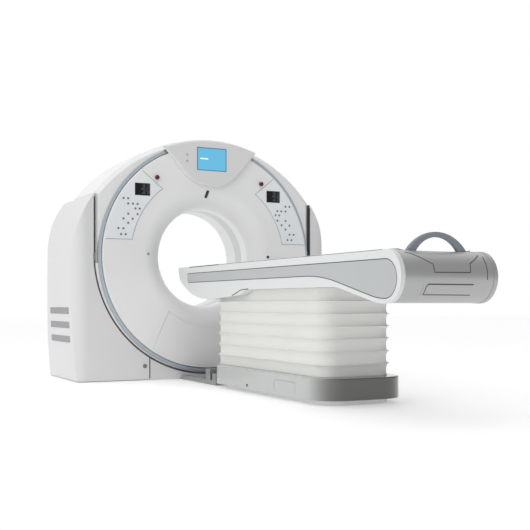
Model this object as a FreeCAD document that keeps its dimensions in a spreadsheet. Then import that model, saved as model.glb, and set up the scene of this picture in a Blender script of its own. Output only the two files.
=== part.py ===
"""CT scanner: a tilting ring gantry on a fixed stand, with a patient couch docked in front of it.

Frame: X to the right, Y from the couch into the bore, Z up, millimetres.
The origin is on the floor, straight below the isocentre (the middle of the bore, on the tilt axis).
"""
import FreeCAD, Part
import math
import os
import Sketcher
from FreeCAD import Vector

# ---------------------------------------------------------------- driving dimensions
SIZES = {
    # gantry, heights from the floor and depths from the tilt axis
    "iso_height": 958, "ring_plane": -265, "wall": 6, "seam_gap": 7, "floor_gap": 5, "base_plate": 4,
    "unit_half_width": 925, "unit_rear": 300, "unit_split": -60, "unit_edge": 32,
    "hood_radius": 1162, "hood_centre": -229, "shell_radius": 928, "shell_centre": 14,
    # ring, disc and bore
    "ring_radius": 907, "ring_width": 30, "ring_proud": 14, "ring_seat": 6,
    "disc_proud": 38, "disc_edge": 18, "funnel_start": 546, "funnel_radius": 154.5,
    "bore_radius": 392, "liner_wall": 4, "throat_rear": 233,
    "window_front": -60, "window_rear": 60, "back_depth": 372, "back_radius": 864, "back_lip": 245,
    # stand covers
    "foot_half_width": 1056,
    "widest_half_width": 1098, "widest_drop": 198, "shoulder_half_width": 1090,
    "shoulder_rise": 42, "peak_half_width": 945, "peak_rise": 450,
    "tip_rise": 466, "stand_rear": 500, "stand_end": 590, "corner_radius": 110,
    "skirt_half_width": 490, "sweep_floor": 100, "back_cut": 790, "back_panel": 560, "lock_spread": 531,
    "lock_height": 109, "lock_radius": 17,
    "vent_front": -145, "vent_length": 560, "vent_low": 294, "vent_tall": 50, "vent_pitch": 109,
    # stand frame and tilt bearings
    "runner_inner": 945, "runner_width": 95, "runner_front": -215, "runner_rear": 490,
    "beam_front": 400, "frame_tall": 60, "bolt_radius": 12, "bolt_tall": 14,
    "tower_depth": 110, "tower_top": 165, "trunnion_radius": 60, "bearing_radius": 92,
    "running_gap": 0.05, "trunnion_end": 1030, "drive_length": 150,
    # tilting frame
    "frame_inner": 600, "frame_outer": 898, "frame_front": 62, "frame_thick": 40,
    "arm_clearance": 10, "arm_outer": 905, "arm_tall": 120, "post_radius": 11, "post_circle": 888,
    # rotor
    "drum_inner": 430, "drum_outer": 858, "drum_front": -50, "drum_thick": 26,
    "race_inner": 500, "ball_circle": 558, "ball_radius": 15, "race_land": 8, "balls": 24,
    "tube_circle": 700, "tube_radius": 88, "tube_length": 175, "detector_inner": 660,
    "detector_outer": 740, "detector_half_angle": 26, "detector_depth": 110,
    "slip_outer": 480, "slip_thick": 22, "brush_gap": 1.0,
    # display shield and controls
    "shield_top": 925, "shield_arc": 1118, "shield_half_width": 395, "shield_low_half": 215,
    "shield_low": 637, "shield_bottom_radius": 332, "shield_proud": 36, "shield_edge": 12,
    "screen_half_width": 127, "screen_low": 682, "screen_tall": 182, "screen_thick": 5,
    "panel_outer": 868, "panel_inner": 657, "panel_bottom": 121, "panel_top_side": 566,
    "panel_corner": 398, "panel_thick": 1.5, "readout_side": 504, "readout_width": 122,
    "readout_low": 463, "readout_tall": 94, "key_radius": 8.5,
    "stop_side": 450, "stop_height": 607, "stop_radius": 17, "stop_stem": 10, "stop_tall": 14,
    "stop_travel": 5, "button_side": 210, "button_low": 748, "button_pitch": 50,
    "button_radius": 9, "button_tall": 7, "button_travel": 3, "button_gap": 0.4,
    "hatch_bottom_half": 477, "hatch_top_half": 350, "hatch_top_radius": 550, "hatch_gap": 2,
    "hatch_lip": 7, "hatch_seat": 0.1, "hatch_lip_thick": 3, "laser_side": 518, "laser_height": 15, "laser_radius": 11,
    # couch
    "table_half_width": 235, "table_edge": 872, "table_thick": 12, "table_dish": 38,
    "table_head": -495, "table_foot": -3185, "body_half_width": 307, "body_top": 866,
    "body_nose": -399, "foot_centre": -3185, "foot_centre_height": 728, "foot_round": 138,
    "belly": 683, "front_belly": 624, "channel_half": 243, "channel_floor": 806,
    "inlay_low": 746, "inlay_top": 819, "inlay_head": -582, "inlay_thick": 5, "inlay_gap": 1,
    "foot_cover_half": 281,
    "base_front": -950, "base_rear": -2560, "base_half_width": 310, "base_low": 32, "base_top": 161,
    "base_corner": 190, "base_front_corner": 220, "base_wall": 8, "base_recess": 70,
    "base_lip": 12, "stage_length": 330, "stage_overlap": 110,
    "column_width": 300, "column_depth": 200, "column_wall": 10, "column_gap": 0.5,
    "front_column": -1480, "rear_column": -2160, "bellows_half": 250, "bellows_front": -967,
    "bellows_rear": -2465, "bellows_corner": 100, "bellows_wall": 3, "rail_half": 150, "rail_width": 40,
    "rail_top": 790, "rail_front": -760, "rail_rear": -3080,
    "handle_half": 200, "handle_bar": 14, "handle_rise": 92,
    "handle_foot": 22, "knob_place": -2700, "knob_radius": 11, "knob_tall": 5,
    # docking link
    "dock_half_width": 240, "dock_bar": 46, "dock_bar_tall": 34, "dock_plate": 8, "dock_tall": 84,
    "dock_block": 60,
}

doc = FreeCAD.newDocument("ct_scanner")
sheet = doc.addObject("Spreadsheet::Sheet", "sizes")
for row, (alias, number) in enumerate(SIZES.items(), 1):
    sheet.set(f"A{row}", alias)
    sheet.set(f"B{row}", str(number))
    sheet.setAlias(f"B{row}", alias)
doc.recompute()


class Size:
    """A length that carries its number and the spreadsheet formula that gives it."""

    def __init__(self, number, formula):
        self.number = float(number)
        self.formula = formula

    def join(self, other, sign, number, swap=False):
        other_text = other.formula if isinstance(other, Size) else repr(float(other))
        left, right = (other_text, self.formula) if swap else (self.formula, other_text)
        return Size(number, f"({left} {sign} {right})")

    def __add__(self, other):
        return self.join(other, "+", self.number + num(other))

    def __radd__(self, other):
        return self.join(other, "+", self.number + num(other), True)

    def __sub__(self, other):
        return self.join(other, "-", self.number - num(other))

    def __rsub__(self, other):
        return self.join(other, "-", num(other) - self.number, True)

    def __mul__(self, other):
        return self.join(other, "*", self.number * num(other))

    def __rmul__(self, other):
        return self.join(other, "*", self.number * num(other), True)

    def __truediv__(self, other):
        return self.join(other, "/", self.number / num(other))

    def __neg__(self):
        return Size(-self.number, f"(0 - {self.formula})")


def num(value):
    return value.number if isinstance(value, Size) else float(value)


def sine(angle):
    return Size(math.sin(math.radians(angle.number)), f"sin({angle.formula})")


def cosine(angle):
    return Size(math.cos(math.radians(angle.number)), f"cos({angle.formula})")


def root(value):
    """Square root of a size expression."""
    return Size(math.sqrt(value.number), f"sqrt({value.formula})")


class Named:
    """Every spreadsheet cell as an attribute: s.ring_radius and so on."""

    def __getattr__(self, alias):
        return Size(SIZES[alias], f"sizes.{alias}")


s = Named()
nodes = []      # what is written out, in the order it was made


def bind(thing, prop, value):
    """Bind a property to the sheet, or set it when the value is a plain number."""
    if isinstance(value, Size):
        thing.setExpression(prop, value.formula)
    else:
        owner, _, last = prop.rpartition(".")
        if owner:
            thing.setExpression(prop, repr(float(value)))
        else:
            setattr(thing, last, value)


def place(thing, at):
    for axis, value in zip("xyz", at):
        if num(value) or isinstance(value, Size):
            bind(thing, f"Placement.Base.{axis}", value)


ISO = (0, 0, s.iso_height)
FLOOR = (0, 0, 0)


def keep(thing, label):
    """Mark a finished object as a node of the part."""
    thing.Label = label
    nodes.append(thing)
    return thing


def new_body(label, at=FLOOR, node=True):
    body = doc.addObject("PartDesign::Body", label if node else label + "_solid")
    place(body, at)
    if node:
        keep(body, label)
    return body


def origin_plane(body, role):
    return next(f for f in body.Origin.OriginFeatures if f.Role == role)


# The two sketch axes of each origin plane, in the body's own X, Y, Z.
PLANES = {"XY": ("XY_Plane", "X", "Y"), "XZ": ("XZ_Plane", "X", "Z"), "YZ": ("YZ_Plane", "Y", "Z")}


def new_sketch(body, plane, offset=0):
    sketch = body.newObject("Sketcher::SketchObject", "outline")
    sketch.AttachmentSupport = [(origin_plane(body, PLANES[plane][0]), "")]
    sketch.MapMode = "FlatFace"
    # An XZ sketch faces -Y, so its offset along +Y is negative in sketch terms.
    shift = -offset if plane == "XZ" else offset
    if isinstance(offset, Size) or offset:
        bind(sketch, "AttachmentOffset.Base.z", shift)
    return sketch


def fix_point(sketch, geometry, end, x, y):
    for kind, value in (("DistanceX", x), ("DistanceY", y)):
        link = Sketcher.Constraint(kind, -1, 1, geometry, end, num(value))
        index = sketch.addConstraint(link)
        if isinstance(value, Size):
            sketch.setExpression(f"Constraints[{index}]", value.formula)


def outline(sketch, points):
    """A closed outline. A point is (x, y), or (x, y, r) where an arc of radius r leads to it:
    a positive r turns left on the way (anticlockwise), a negative r turns right."""
    count = len(points)
    first = sketch.GeometryCount
    for i, here in enumerate(points):
        before = points[i - 1]
        a = Vector(num(before[0]), num(before[1]), 0)
        b = Vector(num(here[0]), num(here[1]), 0)
        if len(here) == 2:
            sketch.addGeometry(Part.LineSegment(a, b), False)
            continue
        radius = abs(num(here[2]))
        turn = 1 if num(here[2]) > 0 else -1
        chord = b - a
        rise = math.sqrt(max(radius ** 2 - (chord.Length / 2) ** 2, 0))
        normal = Vector(-chord.y, chord.x, 0).normalize()
        centre = (a + b) * 0.5 + normal * rise * turn
        middle = centre - normal * radius * turn
        arc = Part.Arc(a, middle, b)
        sketch.addGeometry(arc, False)
    for i, here in enumerate(points):
        index = first + i
        is_arc = len(here) == 3
        flipped = is_arc and num(here[2]) < 0       # Sketcher stores arcs anticlockwise
        start, end = (2, 1) if flipped else (1, 2)
        fix_point(sketch, index, end, here[0], here[1])
        following = first + (i + 1) % count
        after = points[(i + 1) % count]
        next_start = 2 if len(after) == 3 and num(after[2]) < 0 else 1
        sketch.addConstraint(Sketcher.Constraint("Coincident", index, end, following, next_start))
        if is_arc:
            value = abs(num(here[2]))
            row = sketch.addConstraint(Sketcher.Constraint("Radius", index, value))
            if isinstance(here[2], Size):
                formula = here[2].formula if num(here[2]) > 0 else f"(0 - {here[2].formula})"
                sketch.setExpression(f"Constraints[{row}]", formula)


def circle(sketch, x, y, radius):
    shape = Part.Circle(Vector(num(x), num(y), 0), Vector(0, 0, 1), num(radius))
    index = sketch.addGeometry(shape, False)
    fix_point(sketch, index, 3, x, y)
    row = sketch.addConstraint(Sketcher.Constraint("Radius", index, num(radius)))
    if isinstance(radius, Size):
        sketch.setExpression(f"Constraints[{row}]", radius.formula)


def draw(sketch, shapes):
    for shape in shapes:
        if isinstance(shape, tuple):
            circle(sketch, *shape)
        else:
            outline(sketch, shape)


def pad(body, plane, start, length, *shapes):
    """Pad outlines (lists of points) and circles (x, y, r) along +X, +Y or +Z from start."""
    sketch = new_sketch(body, plane, start)
    draw(sketch, shapes)
    feature = body.newObject("PartDesign::Pad", "pad")
    feature.Profile = sketch
    bind(feature, "Length", length)
    feature.Reversed = plane == "XZ"
    body.Tip = feature
    doc.recompute()
    return feature


def pocket(body, plane, start, length, *shapes):
    """Cut outlines and circles along +X, +Y or +Z from start, and check that something went."""
    before = body.Shape.Volume
    sketch = new_sketch(body, plane, start)
    draw(sketch, shapes)
    feature = body.newObject("PartDesign::Pocket", "pocket")
    feature.Profile = sketch
    bind(feature, "Length", length)
    feature.Reversed = plane != "XZ"
    body.Tip = feature
    doc.recompute()
    if not body.Shape.Volume < before - 1:
        raise RuntimeError(f"a pocket in {body.Label} cut nothing")
    return feature


def revolve(body, *outlines):
    """Turn (radius, y) outlines about the body's own Y axis."""
    sketch = new_sketch(body, "YZ")
    for points in outlines:
        outline(sketch, [(p[1], p[0]) + tuple(p[2:]) for p in points])
    feature = body.newObject("PartDesign::Revolution", "turned")
    feature.Profile = sketch
    feature.ReferenceAxis = (sketch, ["H_Axis"])
    feature.Angle = 360
    body.Tip = feature
    doc.recompute()
    return feature


def loft(body, plane, *sections):
    """Join outlines that lie at different depths by a ruled solid."""
    sketches = []
    for depth, points in sections:
        sketch = new_sketch(body, plane, depth)
        outline(sketch, points)
        sketches.append(sketch)
    feature = body.newObject("PartDesign::AdditiveLoft", "loft")
    feature.Profile = sketches[0]
    feature.Sections = sketches[1:]
    feature.Ruled = True
    body.Tip = feature
    doc.recompute()
    return feature


def edges_where(body, test):
    """Names of the edges whose middle point passes the test."""
    names = []
    for i, edge in enumerate(body.Tip.Shape.Edges, 1):
        middle = edge.valueAt((edge.FirstParameter + edge.LastParameter) / 2)
        if test(middle, edge):
            names.append(f"Edge{i}")
    return names


def dress(body, kind, size, test):
    """Fillet or chamfer the edges that pass the test."""
    names = edges_where(body, test)
    base = body.Tip
    feature = body.newObject(f"PartDesign::{kind}", kind.lower())
    feature.Base = (base, names)
    bind(feature, "Radius" if kind == "Fillet" else "Size", size)
    body.Tip = feature
    doc.recompute()
    return feature


def rect(x0, y0, x1, y1):
    return [(x0, y0), (x1, y0), (x1, y1), (x0, y1)]


def round_rect(x0, y0, x1, y1, r):
    """A rectangle with rounded corners, anticlockwise."""
    return [(x1 - r, y0), (x1, y0 + r, r), (x1, y1 - r), (x1 - r, y1, r),
            (x0 + r, y1), (x0, y1 - r, r), (x0, y0 + r), (x0 + r, y0, r)]


def boolean(kind, label, base, *tools, node=True):
    thing = doc.addObject(f"Part::{kind}", label)
    if kind in ("Cut",):
        thing.Base = base
        thing.Tool = tools[0]
    else:
        thing.Shapes = [base, *tools]
    if node:
        keep(thing, label)
    doc.recompute()
    return thing


def box(label, at, size, node=True):
    thing = doc.addObject("Part::Box", label)
    for prop, value in zip(("Length", "Width", "Height"), size):
        bind(thing, prop, value)
    place(thing, at)
    if node:
        keep(thing, label)
    return thing


SIDES = (("left", -1), ("right", 1))


def flip(points, side):
    """Mirror an outline to the other side of X = 0; arcs then turn the other way."""
    if side > 0:
        return points
    return [(-p[0], p[1]) + ((-p[2],) if len(p) == 3 else ()) for p in points]


def group(label, things):
    thing = doc.addObject("Part::Compound", label)
    thing.Links = things
    doc.recompute()
    return keep(thing, label)


def tube_along(label, axis, at, outer, inner, length, node=True):
    """A plain ring or bush: its axis is +X or +Y."""
    turn = {"X": FreeCAD.Rotation(Vector(0, 1, 0), 90), "Y": FreeCAD.Rotation(Vector(1, 0, 0), -90)}
    parts = []
    for name, radius in (("outside", outer), ("inside", inner)):
        rod = doc.addObject("Part::Cylinder", f"{label}_{name}")
        bind(rod, "Radius", radius)
        bind(rod, "Height", length)
        rod.Placement.Rotation = turn[axis]
        place(rod, at)
        parts.append(rod)
    return boolean("Cut", label, *parts, node=node)


def rod_along(label, axis, at, radius, length, node=False):
    turn = {"X": FreeCAD.Rotation(Vector(0, 1, 0), 90), "Y": FreeCAD.Rotation(Vector(1, 0, 0), -90),
            "Z": FreeCAD.Rotation()}
    rod = doc.addObject("Part::Cylinder", label)
    bind(rod, "Radius", radius)
    bind(rod, "Height", length)
    rod.Placement.Rotation = turn[axis]
    place(rod, at)
    if node:
        keep(rod, label)
    doc.recompute()
    return rod


# ---------------------------------------------------------------- shared places
DISC = s.ring_plane - s.disc_proud                  # the flat front of the round front cover
DISC_BACK = DISC + s.wall
RING_BACK = s.ring_plane + s.ring_seat
INNER_WALL = s.unit_half_width + s.seam_gap         # inner side of the stand covers
WIDEST = s.iso_height - s.widest_drop
SHOULDER = s.iso_height + s.shoulder_rise
PEAK = s.iso_height + s.peak_rise
TIP = s.iso_height + s.tip_rise
THROAT = DISC + s.funnel_radius - root(s.funnel_radius * s.funnel_radius
                                       - (s.funnel_start - s.bore_radius)
                                       * (s.funnel_start - s.bore_radius))


def on_circle(radius, along):
    """The other coordinate of a point on a circle about the origin."""
    return root(radius * radius - along * along)


# ---------------------------------------------------------------- stand frame
def gantry_base():
    body = new_body("gantry_base")
    far = s.runner_inner + s.runner_width
    pad(body, "XY", 0, s.base_plate, rect(-far, s.runner_front, far, s.runner_rear))
    for side in (-1, 1):
        pad(body, "XY", 0, s.frame_tall,
            rect(side * s.runner_inner, s.runner_front, side * far, s.runner_rear)
            if side > 0 else rect(-far, s.runner_front, -s.runner_inner, s.runner_rear))
    pad(body, "XY", 0, s.frame_tall, rect(-far, s.beam_front, far, s.runner_rear))


def towers():
    for name, side in SIDES:
        body = new_body(f"{name}_tower")
        low = s.runner_inner if side > 0 else -s.runner_inner - s.runner_width
        pad(body, "YZ", low, s.runner_width,
            rect(-s.tower_depth, s.frame_tall, s.tower_depth, s.iso_height + s.tower_top))
        pocket(body, "YZ", low - 1, s.runner_width + 2, (0, s.iso_height, s.bearing_radius))


def tilt_bearings():
    rings = []
    for name, side in SIDES:
        low = s.runner_inner if side > 0 else -s.runner_inner - s.runner_width
        rings.append(tube_along(f"{name}_tilt_ring", "X", (low, 0, s.iso_height), s.bearing_radius,
                                s.trunnion_radius + s.running_gap, s.runner_width, node=False))
    group("tilt_bearings", rings)


def tilt_drive():
    body = new_body("tilt_drive", ISO)
    pad(body, "XZ", s.tower_depth, s.drive_length,
        rect(s.runner_inner + 5, -70, s.runner_inner + s.runner_width - 5, 70))


def anchor_bolts():
    bolts = []
    for side in (-1, 1):
        for y in (s.runner_front + 60, s.tower_depth + 60, s.runner_rear - 60):
            x = side * (s.runner_inner + s.runner_width / 2)
            bolts.append(rod_along("bolt", "Z", (x, y, s.frame_tall), s.bolt_radius, s.bolt_tall))
    group("anchor_bolts", bolts)


# ---------------------------------------------------------------- stand covers
def stand_side(inset, low):
    """The outer side of the stand from the floor to its tip, pushed in by inset.
    Three arcs that run into each other: the waist, the shoulder's start and the shoulder."""
    swell = s.widest_half_width - s.foot_half_width
    rise = WIDEST - s.floor_gap
    low_arc = (rise * rise + swell * swell) / (swell * 2)
    lean = s.widest_half_width - s.shoulder_half_width
    climb = SHOULDER - WIDEST
    mid_arc = (climb * climb + lean * lean) / (lean * 2)
    slope_in = climb / mid_arc
    slope_up = 1 - lean / mid_arc
    across = s.peak_half_width - s.shoulder_half_width
    up = PEAK - SHOULDER
    top_arc = -(across * across + up * up) / (2 * (across * slope_up + up * slope_in))
    foot_x = s.widest_half_width - low_arc + on_circle(low_arc - inset, WIDEST - low)
    centre_x = s.shoulder_half_width - top_arc * slope_up
    centre_z = SHOULDER - top_arc * slope_in
    top_z = PEAK - inset * 2
    top_x = centre_x + on_circle(top_arc - inset, top_z - centre_z)
    return [(foot_x, low),
            (s.widest_half_width - inset, WIDEST, low_arc - inset),
            (s.shoulder_half_width - inset * slope_up, SHOULDER - inset * slope_in,
             mid_arc - inset),
            (top_x, top_z, top_arc - inset)]


def stand_outline(inset, low, side):
    """Front view of one stand cover: outer side, pointed top, inner side, seam arc, skirt end."""
    arc = s.shell_radius + s.seam_gap + inset
    centre = s.iso_height + s.shell_centre
    edge = s.skirt_half_width + inset
    inner = INNER_WALL + inset
    points = stand_side(inset, low)
    if num(inset) == 0:
        points.append((inner, TIP))
    else:
        points.append((inner, points[-1][1]))
    points.append((inner, centre - on_circle(arc, inner) if num(arc) > num(inner) else centre))
    points.append((edge, centre - on_circle(arc, edge), -arc))
    points.append((edge, low))
    return flip(points, side)


def plan_block(label, inset, start, end, front):
    """An upright block over the stand's plan, with its outer corners rounded at one end."""
    body = new_body(label, node=False)
    half = s.widest_half_width - inset
    corner = s.corner_radius - inset
    low, high = start, end
    if front:
        points = [(half - corner, low), (half, low + corner, corner), (half, high), (-half, high),
                  (-half, low + corner), (-half + corner, low, corner)]
    else:
        points = [(half, low), (half, high - corner), (half - corner, high, corner),
                  (-half + corner, high), (-half, high - corner, corner), (-half, low)]
    pad(body, "XY", -20, TIP + 40, points)
    return body


def vent_boxes(grow):
    """Three slots a side, as boxes that pass through the side wall."""
    boxes = []
    for side in (-1, 1):
        for i in range(3):
            at = (side * 1100 - 60, s.vent_front - grow, s.vent_low + i * s.vent_pitch - grow)
            size = (120, s.vent_length + 2 * grow, s.vent_tall + 2 * grow)
            boxes.append(box("vent_slot", at, size, node=False))
    return boxes


def sweep_room(name, side):
    """Behind its front wall a side cover is open to the tilting unit, which swings through here."""
    arc = s.shell_radius + s.seam_gap + s.wall + 3
    centre = s.iso_height + s.shell_centre
    out, turn = s.skirt_half_width - 10, s.skirt_half_width + 15
    body = new_body(f"{name}_sweep_room", node=False)
    pad(body, "XZ", s.ring_plane + s.wall, s.stand_rear + 10 - s.ring_plane - s.wall,
        flip([(out, s.sweep_floor), (turn, s.sweep_floor), (turn, centre - on_circle(arc, turn)),
              (INNER_WALL, centre - on_circle(arc, INNER_WALL), arc), (INNER_WALL, centre + 30),
              (out, centre + 30)], side))
    return body


def side_covers():
    for name, side in SIDES:
        solids = []
        for inset, low, start, end in ((0, s.floor_gap, s.ring_plane, s.stand_rear),
                                       (s.wall, -10, s.ring_plane + s.wall, s.stand_rear + 10)):
            body = new_body(f"{name}_side_{'inside' if solids else 'outside'}", node=False)
            pad(body, "XZ", start, end - start, stand_outline(inset, low, side))
            block = plan_block(body.Name + "_plan", inset, start, end, True)
            solids.append(boolean("MultiCommon", body.Name + "_round", body, block, node=False))
        hole = rod_along("trunnion_hole", "X", (side * INNER_WALL - 30, 0, s.iso_height),
                         s.trunnion_radius + 6, 60)
        slots = vent_boxes(0)
        span = INNER_WALL - s.skirt_half_width + 40
        low = s.skirt_half_width - 20 if side > 0 else -s.skirt_half_width + 20 - span
        notch = box("beam_notch", (low, s.beam_front - 5, -1),
                    (span, s.stand_rear - s.beam_front + 10, s.frame_tall + 6), node=False)
        room = sweep_room(name, side)
        tools = boolean("MultiFuse", f"{name}_side_tools", solids[1], hole, notch, room, *slots,
                        node=False)
        boolean("Cut", f"{name}_side_cover", solids[0], tools)


def vent_grilles():
    skins = []
    for name, side in SIDES:
        body = new_body(f"{name}_vent_skin", node=False)
        outer = stand_side(2.0, s.floor_gap + 40)[:2]
        inner = stand_side(s.wall + 6, s.floor_gap + 40)[:2]
        arc = -inner[1][2]
        points = [outer[0], outer[1], inner[1], (inner[0][0], inner[0][1], arc)]
        pad(body, "XZ", s.vent_front + 0.8, s.vent_length - 1.6, flip(points, side))
        skins.append(body)
    skin = boolean("MultiFuse", "vent_skins", *skins, node=False)
    slots = boolean("MultiFuse", "vent_plates", *vent_boxes(-0.8), node=False)
    boolean("MultiCommon", "vent_grilles", skin, slots)


def rear_corner_covers():
    for name, side in SIDES:
        solids = []
        for inset, low, start, end in ((0, s.floor_gap, s.stand_rear, s.stand_end),
                                       (s.wall, -10, s.stand_rear - 10, s.stand_end - s.wall)):
            body = new_body(f"{name}_rear_{'inside' if solids else 'outside'}", node=False)
            points = stand_side(inset, low)
            inner = INNER_WALL + inset
            top = TIP if not solids else points[-1][1]
            pad(body, "XZ", start, end - start,
                flip(points + [(inner, top), (inner, low)], side))
            block = plan_block(body.Name + "_plan", inset, start, end, False)
            solids.append(boolean("MultiCommon", body.Name + "_round", body, block, node=False))
        boolean("Cut", f"{name}_rear_cover", *solids)


def front_skirt():
    """The low panel under the ring, between the two side covers."""
    body = new_body("front_skirt")
    half = s.skirt_half_width - 0.6
    arc = s.shell_radius + s.seam_gap
    top = s.iso_height + s.shell_centre - on_circle(arc, half)
    pad(body, "XZ", s.ring_plane, s.wall + 2,
        [(-half, s.floor_gap), (half, s.floor_gap), (half, top), (-half, top, -arc)])
    pad(body, "XZ", s.ring_plane, 46, rect(-half, 0, half, s.floor_gap + 3))


def rear_skirt():
    body = new_body("rear_skirt")
    half = INNER_WALL
    top = s.iso_height - s.back_cut + 320
    edge = on_circle(s.back_cut, s.iso_height - top)
    pad(body, "XZ", s.back_panel, s.wall,
        [(-half, s.floor_gap), (half, s.floor_gap), (half, top), (edge, top),
         (-edge, top, -s.back_cut), (-half, top)])
    pad(body, "XZ", s.runner_rear, s.back_panel - s.runner_rear + 1,
        rect(-half + 40, s.floor_gap, -half + 120, s.frame_tall),
        rect(half - 120, s.floor_gap, half - 40, s.frame_tall))


def cover_locks():
    locks = []
    for side in (-1, 1):
        at = (side * s.lock_spread, s.ring_plane - 3, s.lock_height)
        locks.append(rod_along("lock", "Y", at, s.lock_radius, 3))
    group("cover_locks", locks)


# ---------------------------------------------------------------- tilting unit, frame and shells
def tilt_frame():
    body = new_body("tilt_frame", ISO)
    pad(body, "XZ", s.frame_front, s.frame_thick, (0, 0, s.frame_outer), (0, 0, s.frame_inner))
    back = s.frame_front + s.frame_thick
    front = -s.trunnion_radius - 15
    for side in (-1, 1):
        root_x = s.drum_outer + s.arm_clearance
        low = root_x if side > 0 else -s.arm_outer
        pad(body, "XZ", front, back - front,
            rect(low, -s.arm_tall, low + s.arm_outer - root_x, s.arm_tall))
        start = s.arm_outer if side > 0 else -s.trunnion_end
        pad(body, "YZ", start, s.trunnion_end - s.arm_outer, (0, 0, s.trunnion_radius))
    # Six posts carry the light ring and, through it, the round front cover.
    posts = []
    for degrees in (35, 90, 145, 215, 270, 325):
        angle = math.radians(degrees)
        posts.append((s.post_circle * math.cos(angle), s.post_circle * math.sin(angle),
                      s.post_radius))
    pad(body, "XZ", RING_BACK, s.frame_front - RING_BACK, *posts)


def unit_outline(inset, upper):
    """Front view of the tilting unit: the hood above the split, the round shell below it."""
    half = s.unit_half_width - inset
    low = s.unit_split - (60 if num(inset) else 0)
    if upper:
        arc = s.hood_radius - inset
        top = s.hood_centre + on_circle(arc, half)
        return [(-half, low), (half, low), (half, top), (-half, top, arc)]
    arc = s.shell_radius - inset
    edge = on_circle(arc, s.shell_centre - s.unit_split)
    points = [(-edge, s.unit_split), (edge, s.unit_split, arc)]
    if num(inset):
        points += [(edge, s.unit_split + 60), (-edge, s.unit_split + 60)]
    return points


def unit_shell(label, upper, rear, edge, hole):
    """A moulded shell of the tilting unit, open to its middle, with front and rear walls."""
    solids = []
    for inset, start, end in ((0, s.ring_plane, rear), (s.wall, s.ring_plane + s.wall, rear - s.wall)):
        body = new_body(f"{label}_{'inside' if solids else 'outside'}", ISO, node=False)
        pad(body, "XZ", start, end - start, unit_outline(inset, upper))
        y = num(start)
        split = SIZES["unit_split"] + (-60 if upper else 60) * (1 if solids else 0)
        def rim(middle, curve):
            on_face = all(abs(v.Point.y - y) < 0.01 for v in curve.Vertexes)
            return on_face and abs(middle.y - y) < 0.01 and abs(middle.z - split) > 1
        dress(body, "Chamfer", edge - inset * 0.6, rim)
        solids.append(body)
    front = rod_along("front_hole", "Y", (0, s.ring_plane - 20, s.iso_height), s.ring_radius, 60)
    back = rod_along("back_hole", "Y", (0, rear - 40, s.iso_height), hole, 80)
    sides = [rod_along("arm_hole", "X", (side * s.unit_half_width - 40, 0, s.iso_height),
                       s.trunnion_radius + 6, 80) for side in (-1, 1)]
    tools = boolean("MultiFuse", f"{label}_tools", solids[1], front, back, *sides, node=False)
    boolean("Cut", label, solids[0], tools)


def taper_radius(y):
    """Radius of the rear cover's sloping rim at a depth y."""
    run = s.back_depth - 6 - s.back_lip
    return s.back_radius + (s.back_depth - 6 - y) * (905 - s.back_radius) / run


def light_ring():
    body = new_body("light_ring", ISO)
    inner = s.ring_radius - s.ring_width
    front = s.ring_plane - s.ring_proud
    revolve(body, [(inner, RING_BACK), (inner, front + 7), (inner + 7, front, -7),
                   (s.ring_radius - 7, front), (s.ring_radius, front + 7, -7),
                   (s.ring_radius, RING_BACK)])


def front_cover():
    """Flat round face that turns smoothly into the bore, cut open for the service panel."""
    body = new_body("front_cover", ISO)
    rim = s.ring_radius - s.ring_width
    wall = s.wall
    # The funnel arc turns left on its way in, and its inner parallel turns back.
    revolve(body, [(rim, RING_BACK), (rim, DISC + s.disc_edge), (rim - 5, DISC),
                   (s.funnel_start, DISC), (s.bore_radius, THROAT, s.funnel_radius),
                   (s.bore_radius + wall, THROAT),
                   (s.funnel_start, DISC_BACK, -(s.funnel_radius - wall)),
                   (rim - 5 - wall, DISC_BACK), (rim - wall, DISC + s.disc_edge),
                   (rim - wall, RING_BACK)])
    pocket(body, "XZ", DISC - 1, wall + 2, hatch_outline(0))
    pocket(body, "XZ", DISC - 1, wall + 2,
           (-s.stop_side, s.stop_height, s.stop_stem + s.button_gap),
           (s.stop_side, s.stop_height, s.stop_stem + s.button_gap))


def hatch_outline(gap):
    """Service panel at the foot of the disc: two slanted sides between two arcs."""
    low_arc = s.ring_radius - s.ring_width - 21 - gap
    high_arc = s.hatch_top_radius + gap
    bottom = s.hatch_bottom_half - gap
    top = s.hatch_top_half - gap
    return [(-bottom, -on_circle(low_arc, bottom)), (bottom, -on_circle(low_arc, bottom), low_arc),
            (top, -on_circle(high_arc, top)), (-top, -on_circle(high_arc, top), -high_arc)]


def lower_access_panel():
    body = new_body("lower_access_panel", ISO)
    pad(body, "XZ", DISC, s.wall + s.hatch_seat, hatch_outline(s.hatch_gap))
    pad(body, "XZ", DISC_BACK + s.hatch_seat, s.hatch_lip_thick, hatch_outline(-s.hatch_lip))


def bore_liners():
    front = tube_along("front_liner", "Y", (0, THROAT, s.iso_height), s.bore_radius + s.liner_wall,
                       s.bore_radius, s.window_front - THROAT, node=False)
    rear = tube_along("rear_liner", "Y", (0, s.window_rear, s.iso_height),
                      s.bore_radius + s.liner_wall, s.bore_radius, s.throat_rear - s.window_rear,
                      node=False)
    group("bore_liners", [front, rear])
    tube_along("scan_window", "Y", (0, s.window_front, s.iso_height),
               s.bore_radius + s.liner_wall - 1, s.bore_radius + 1, s.window_rear - s.window_front)


def rear_cover():
    body = new_body("rear_cover", ISO)
    face = s.back_depth - 12
    flare_start = 560
    reach = face - s.throat_rear
    drop = flare_start - s.bore_radius
    flare = (reach * reach + drop * drop) / (reach * 2)
    wall = s.wall
    revolve(body, [(s.bore_radius, s.throat_rear), (flare_start, face, flare),
                   (s.back_radius - 14, s.back_depth), (s.back_radius, s.back_depth - 6),
                   (905, s.back_lip), (905 - wall, s.back_lip),
                   (s.back_radius - wall, s.back_depth - 6 - wall),
                   (flare_start, face - wall), (s.bore_radius + wall, s.throat_rear, -flare)])


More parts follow.
